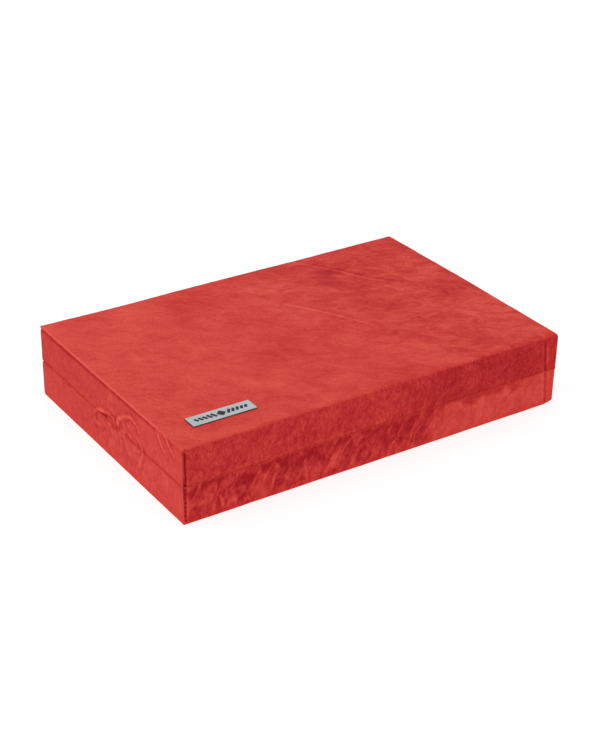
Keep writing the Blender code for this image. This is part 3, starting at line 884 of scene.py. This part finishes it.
flock, flock_surface = shader("flock_lining", 0.95, Sheen_Weight=0.25, Sheen_Roughness=0.5,
                              Sheen_Tint=(1.0, 0.5, 0.5, 1), Specular_IOR_Level=0.1)
flock_fibres = noise_at(flock, 800, 4, roughness=0.65)
flock_clouds = noise_at(flock, 40, 3)
flock_shade = reckon(flock, "MULTIPLY_ADD", flock_clouds, 0.6, reckon(flock, "MULTIPLY", flock_fibres, 0.6))
paint(flock, flock_surface, flock_shade, 0.4, 0.8, FLOCK_COLOURS)
emboss(flock, flock_surface, flock_fibres, 0.4, 0.0004)


def ring(low, high):
    """Four upright walls, one layer thick, facing into the case."""
    bm = bmesh.new()
    bmesh.ops.create_cube(bm, size=1)
    bmesh.ops.delete(bm, geom=[f for f in bm.faces if abs(f.normal.z) > 0.5], context="FACES_ONLY")
    for axis, span in enumerate(high - low):
        along = [e for e in bm.edges if abs((e.verts[0].co - e.verts[1].co)[axis]) > 1e-6]
        bmesh.ops.subdivide_edges(bm, edges=along, cuts=round(span / LINING_SPACING), use_grid_fill=True)
    bmesh.ops.scale(bm, vec=high - low, verts=bm.verts)
    bmesh.ops.translate(bm, vec=(low + high) / 2, verts=bm.verts)
    for vert in bm.verts:
        inward = 0.00015 * (1 + cloudy(*vert.co, 0.020, 2))
        if vert.co.x in (low.x, high.x) or abs(abs(vert.co.x) - high.x) < 1e-6:
            vert.co.x -= math.copysign(inward, vert.co.x)
        else:
            vert.co.y -= math.copysign(inward, vert.co.y)
    bmesh.ops.reverse_faces(bm, faces=bm.faces)
    return bm


for half, body, flat in (("base", "base", (1.336, 0.0302)), ("lid", "lid", (1.336, 0.0273))):
    node_name = half + "_wall_lining"
    low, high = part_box(node_name)
    inner = Vector((LINING, LINING, 0))
    wall_flock = to_object(ring(low + inner, high - inner), half + "_wall_flock", flock, body)
    backing = wall_flock.modifiers.new("backing", "SOLIDIFY")
    backing.thickness, backing.offset = LINING * 0.9, -1
    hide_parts(node_name)


def panel(low, high, spacing, soft_edge, rise_at):
    """A flat sheet of cloth as a closed block with soft edges. rise_at(x, y) moves its
    top face up, or its bottom face down where the rise is negative."""
    bm = bmesh.new()
    bmesh.ops.create_cube(bm, size=2)
    for axis, span in enumerate((high - low).xy):
        along = [e for e in bm.edges if abs((e.verts[0].co - e.verts[1].co)[axis]) > 1e-6]
        bmesh.ops.subdivide_edges(bm, edges=along, cuts=round(span / spacing), use_grid_fill=True)
    half_size, middle = (high - low) / 2, (low + high) / 2
    for vert in bm.verts:
        upper = vert.co.z > 0
        x, y = middle.x + vert.co.x * half_size.x, middle.y + vert.co.y * half_size.y
        inside = min(half_size.x * (1 - abs(vert.co.x)), half_size.y * (1 - abs(vert.co.y)))
        shrink = 1 - smooth(0, soft_edge, inside)
        rise = rise_at(x, y, inside)
        z = high.z if upper else low.z
        z += (-1 if upper else 1) * shrink * half_size.z * 0.7
        z += max(0, rise) if upper else min(0, rise)
        vert.co = (x, y, z)
    bmesh.ops.recalc_face_normals(bm, faces=bm.faces)
    return bm


low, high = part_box("base_floor_lining")
bm = panel(low, high, 0.004, 0.002, lambda x, y, inside: (
    0.0003 * (1 + cloudy(x, y, 0, 0.030, 2)) * smooth(0, 0.01, inside)))
floor_flock = to_object(bm, "base_floor_flock", flock, "base")
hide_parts("base_floor_lining")


def quilting(x, y, inside):
    """The drop of the quilted wadding: full between the diagonal seams, and none at the border."""
    nearest = min(
        abs((part / QUILT_PITCH + 0.5) % 1 - 0.5) * QUILT_PITCH
        for part in ((x + y) * math.sqrt(0.5), (x - y) * math.sqrt(0.5))
    )
    full = 1 - swell(nearest, QUILT_SEAM)
    return -(QUILT_RISE + 0.0003 * cloudy(x, y, 2, 0.02, 2)) * full * smooth(0.002, 0.016, inside) - 0.0001


low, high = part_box("lid_top_lining")
bm = panel(low, high, 0.0021, 0.002, quilting)
top_flock = to_object(bm, "lid_top_flock", flock, "lid")
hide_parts("lid_top_lining")

# ---------------------------------------------------------------------------
# Wadding under the lid's velour. A thin sheet of soft pale foam, glued to the top
# board. The velour is pulled over it, which rounds the top edge.
FOAM_COLOURS = ((0.62, 0.58, 0.48), (0.74, 0.70, 0.60))

foam, foam_surface = shader("pale_foam", 0.95)
foam_cells = noise_at(foam, 1100, 3)
paint(foam, foam_surface, foam_cells, 0.3, 0.7, FOAM_COLOURS)
emboss(foam, foam_surface, foam_cells, 0.4, 0.0004)

low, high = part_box("lid_padding")
inset = Vector((0.0018, 0.0018, 0))
bm = panel(low + inset, Vector((high.x - inset.x, high.y - inset.y, INNER_TOP - 0.0002)), 0.010, 0.004,
           lambda x, y, inside: 0.0)
lid_foam = to_object(bm, "lid_foam", foam, "lid")
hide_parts("lid_padding")

# ---------------------------------------------------------------------------
# Bottom sheet. Thick dark felt, glued under the floor board and cut a little
# smaller than it. It keeps the case from slipping.
FELT_COLOURS = ((0.020, 0.018, 0.019), (0.060, 0.052, 0.054))
FELT_INSET, FELT_RIGHT_INSET = 0.0015, 0.0044

felt, felt_surface = shader("bottom_felt", 0.98, Specular_IOR_Level=0.1)
felt_hairs = noise_at(felt, 650, 5, roughness=0.7)
paint(felt, felt_surface, felt_hairs, 0.3, 0.75, FELT_COLOURS)
emboss(felt, felt_surface, felt_hairs, 0.5, 0.0005)

low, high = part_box("base_bottom_sheet")
bm = panel(low + Vector((FELT_INSET, FELT_INSET, 0)), high - Vector((FELT_RIGHT_INSET, FELT_INSET, 0)),
           0.006, 0.002, lambda x, y, inside: 0.0)
bottom_felt = to_object(bm, "bottom_felt", felt, "base")
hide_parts("base_bottom_sheet")

# ---------------------------------------------------------------------------
# Folded blanket. One square of heavy glass-fibre twill with a sewn hem. It is
# folded to and fro in seven, and that strip to and fro in five, so that a pull
# on the tapes lets it drop open.
CUT = 1.8
ACROSS, ALONG = 7, 5
FLAT_STEPS, TURN_STEPS = 14, 6
WEAVE_COLOURS = ((0.50, 0.49, 0.45), (0.74, 0.73, 0.69))
GLASS_CLOTH = 0.0006
SLIP = 0.0012
HEM, HEM_RISE = 0.014, 0.0002
HEM_STITCHES = 300  # in a metre of hem

blanket_low, blanket_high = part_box("folded_blanket")
bolt = (blanket_high.z - blanket_low.z) / ALONG  # the height of the strip after its first folding
layer = bolt / ACROSS
strip_half = blanket_high.y - layer / 2 - SLIP / 2
pack_half = blanket_high.x - bolt

glass, glass_surface = shader("glass_cloth", 0.6, Specular_IOR_Level=0.3)
flat_place = add(glass, "ShaderNodeUVMap", uv_map="flat")
weave = []
for angle, pitch in ((45, 0.0022), (-45, 0.0016)):
    laid = add(glass, "ShaderNodeMapping", Rotation=(0, 0, math.radians(angle)))
    yarns = add(glass, "ShaderNodeTexWave", Scale=0.314 / pitch, Distortion=0.6, Detail=1.0)
    join(glass, flat_place.outputs["UV"], laid.inputs["Vector"])
    join(glass, laid.outputs["Vector"], yarns.inputs["Vector"])
    weave.append(yarns.outputs["Fac"])
twill = reckon(glass, "MULTIPLY_ADD", weave[0], 0.65, reckon(glass, "MULTIPLY", weave[1], 0.35))
spread = add(glass, "ShaderNodeSeparateXYZ")
join(glass, flat_place.outputs["UV"], spread.inputs["Vector"])
to_edge = [reckon(glass, "MINIMUM", spread.outputs[axis],
                  reckon(glass, "SUBTRACT", CUT, spread.outputs[axis])) for axis in ("X", "Y")]
edge_distance = reckon(glass, "MINIMUM", *to_edge)
from_hem = reckon(glass, "ABSOLUTE", reckon(glass, "SUBTRACT", edge_distance, HEM), 0)
seam_line = reckon(glass, "LESS_THAN", from_hem, 0.0006)
run_of_seam = reckon(glass, "ADD", spread.outputs["X"], spread.outputs["Y"])
dashes = reckon(glass, "LESS_THAN",
                reckon(glass, "FRACT", reckon(glass, "MULTIPLY", run_of_seam, HEM_STITCHES), 0), 0.65)
sewn = reckon(glass, "MULTIPLY", seam_line, dashes)
cloth_shade = reckon(glass, "ADD", reckon(glass, "MULTIPLY", twill, 0.55),
                     reckon(glass, "MULTIPLY", noise_at(glass, 60, 4), 0.45))
woven = add(glass, "ShaderNodeMix", data_type="RGBA")
join(glass, sewn, woven.inputs["Factor"])
join(glass, ramp(glass, cloth_shade, ((0.25, WEAVE_COLOURS[0]), (0.75, WEAVE_COLOURS[1]))), woven.inputs[6])
woven.inputs[7].default_value = (0.30, 0.30, 0.30, 1)
join(glass, woven.outputs[2], glass_surface.inputs["Base Color"])
emboss(glass, glass_surface, reckon(glass, "SUBTRACT", twill, sewn), 0.4, 0.0003)


def fold_steps(panels, turn_length, panel_length):
    """Each station along a to-and-fro fold: (panel, share of the way along it, angle of
    the turn after it, length of cloth so far)."""
    steps, run = [], 0.0
    for number in range(panels):
        for step in range(FLAT_STEPS + 1):
            steps.append((number, step / FLAT_STEPS, 0.0, run + panel_length * step / FLAT_STEPS))
        run += panel_length
        if number < panels - 1:
            for step in range(1, TURN_STEPS):
                steps.append((number, 1.0, math.pi * step / TURN_STEPS,
                              run + turn_length * step / TURN_STEPS))
            run += turn_length
    return [(number, share, angle, length * CUT / run) for number, share, angle, length in steps]


across_steps = fold_steps(ACROSS, math.pi * layer / 2, 2 * strip_half)
along_steps = fold_steps(ALONG, math.pi * bolt / 2, 2 * pack_half)
random.seed(5)
slips = [random.uniform(-SLIP, SLIP / 2) for _ in range(ACROSS + 1)]
bm = bmesh.new()
bmesh.ops.create_grid(bm, x_segments=len(along_steps) - 1, y_segments=len(across_steps) - 1, size=1)
flat_map = bm.loops.layers.uv.new("flat")
for vert in bm.verts:
    column = round((vert.co.x + 1) / 2 * (len(along_steps) - 1))
    row = round((vert.co.y + 1) / 2 * (len(across_steps) - 1))
    number, share, angle, run_across = across_steps[row]
    near, far = strip_half + slips[number], strip_half + slips[number + 1]
    way = 1 if number % 2 == 0 else -1
    y = way * (-near + (near + far) * share + layer / 2 * math.sin(angle))
    height = (number + 0.5) * layer + layer / 2 * (1 - math.cos(angle))
    number, share, angle, run_along = along_steps[column]
    if number % 2:
        height = bolt - height
    way = 1 if number % 2 == 0 else -1
    reach = bolt - height
    x = way * (-pack_half + 2 * pack_half * share + reach * math.sin(angle))
    z = (number + 1) * bolt - reach * math.cos(angle)
    z += 0.00020 * noise.noise(Vector((x * 22, y * 22, z * 900)))
    to_hem = min(run_across, CUT - run_across, run_along, CUT - run_along)
    z += HEM_RISE * smooth(HEM, HEM * 0.6, to_hem)
    y += 0.0006 * noise.noise(Vector((x * 14, z * 300, 0)))
    vert.co = (x, y, blanket_low.z + z)
    for loop in vert.link_loops:
        loop[flat_map].uv = (run_along, run_across)
bmesh.ops.recalc_face_normals(bm, faces=bm.faces)
blanket = to_object(bm, "blanket_cloth", glass, "base")
weight = blanket.modifiers.new("thickness", "SOLIDIFY")
weight.thickness, weight.offset = GLASS_CLOTH, 0
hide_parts("folded_blanket")

# ---------------------------------------------------------------------------
# Pull tapes. Black ribbed webbing, each end turned under, sewn to the top of the
# blanket with a boxed cross.
TAPE, TAPE_TURN_UNDER = 0.00055, 0.018
TAPE_STEPS = 44
BOX_HALF, BOX_FROM_END = 0.0088, 0.0125
TAPE_THREAD, TAPE_STITCH = 0.00028, 0.0022
RIB_PITCH = 0.0014
WEBBING_COLOURS = ((0.008, 0.008, 0.009), (0.034, 0.033, 0.036))
PALE_THREAD_COLOURS = ((0.40, 0.38, 0.34), (0.60, 0.58, 0.52))

webbing, webbing_surface = shader("black_webbing", 0.75, Specular_IOR_Level=0.25)
ribs_place = add(webbing, "ShaderNodeTexCoord")
ribs = add(webbing, "ShaderNodeTexWave", Scale=0.314 / RIB_PITCH, Distortion=0.4, Detail=1.0,
           bands_direction="Y")
join(webbing, ribs_place.outputs["Object"], ribs.inputs["Vector"])
paint(webbing, webbing_surface, ribs.outputs["Fac"], 0.1, 0.9, WEBBING_COLOURS)
emboss(webbing, webbing_surface, ribs.outputs["Fac"], 0.6, 0.0003)
pale_thread, pale_surface = shader("tape_thread", 0.6)
paint(pale_thread, pale_surface, noise_at(pale_thread, 2500, 2), 0.3, 0.7, PALE_THREAD_COLOURS)

for side in ("left", "right"):
    low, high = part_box("pull_tape_" + side)
    upper_z, lower_z = high.z - TAPE / 2, low.z + TAPE / 2
    turn_radius = (upper_z - lower_z) / 2
    straight = (high.y - low.y) - 2 * (turn_radius + TAPE / 2)
    lengths = (TAPE_TURN_UNDER, math.pi * turn_radius, straight, math.pi * turn_radius, TAPE_TURN_UNDER)
    tape_length = sum(lengths)
    front, rear = low.y + turn_radius + TAPE / 2, high.y - turn_radius - TAPE / 2
    bm = bmesh.new()
    bmesh.ops.create_grid(bm, x_segments=10, y_segments=6 * TAPE_STEPS, size=1)
    for vert in bm.verts:
        run = (vert.co.y + 1) / 2 * tape_length
        x = (low.x + high.x) / 2 + vert.co.x * (high.x - low.x) / 2
        middle_z = (upper_z + lower_z) / 2
        if run < lengths[0]:
            y, z = front + lengths[0] - run, lower_z
        elif run < sum(lengths[:2]):
            angle = (run - lengths[0]) / turn_radius
            y, z = front - turn_radius * math.sin(angle), middle_z - turn_radius * math.cos(angle)
        elif run < sum(lengths[:3]):
            y, z = front + run - sum(lengths[:2]), upper_z
        elif run < sum(lengths[:4]):
            angle = (run - sum(lengths[:3])) / turn_radius
            y, z = rear + turn_radius * math.sin(angle), middle_z + turn_radius * math.cos(angle)
        else:
            y, z = rear - (run - sum(lengths[:4])), lower_z
        sag = smooth(front + 0.016, front + 0.034, y) * smooth(rear - 0.016, rear - 0.034, y)
        if z > middle_z:
            z -= sag * 0.0006
            z += 0.00018 * noise.noise(Vector((x * 30, y * 40, 0)))
        vert.co = (x, y, z)
    bmesh.ops.recalc_face_normals(bm, faces=bm.faces)
    tape = to_object(bm, "tape_" + side, webbing, "base")
    body_of_tape = tape.modifiers.new("thickness", "SOLIDIFY")
    body_of_tape.thickness, body_of_tape.offset = TAPE, 0
    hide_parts("pull_tape_" + side)

    bm = bmesh.new()
    for middle_y in (high.y - BOX_FROM_END, low.y + BOX_FROM_END):
        middle = Vector(((low.x + high.x) / 2, middle_y, upper_z + TAPE / 2 + 0.0001))
        corners = [middle + BOX_HALF * Vector((sx, sy, 0)) for sx, sy in ((-1, -1), (1, -1), (1, 1), (-1, 1))]
        for start, end in zip(corners + corners[:2], corners[1:] + corners[:1] + corners[2:]):
            count = round((end - start).length / (TAPE_STITCH * 1.3))
            for number in range(count):
                stitch(bm, start.lerp(end, (number + 0.5) / count), (end - start).normalized(),
                       TAPE_STITCH, TAPE_THREAD)
    tape_stitches = to_object(bm, f"tape_{side}_stitches", pale_thread, "base")
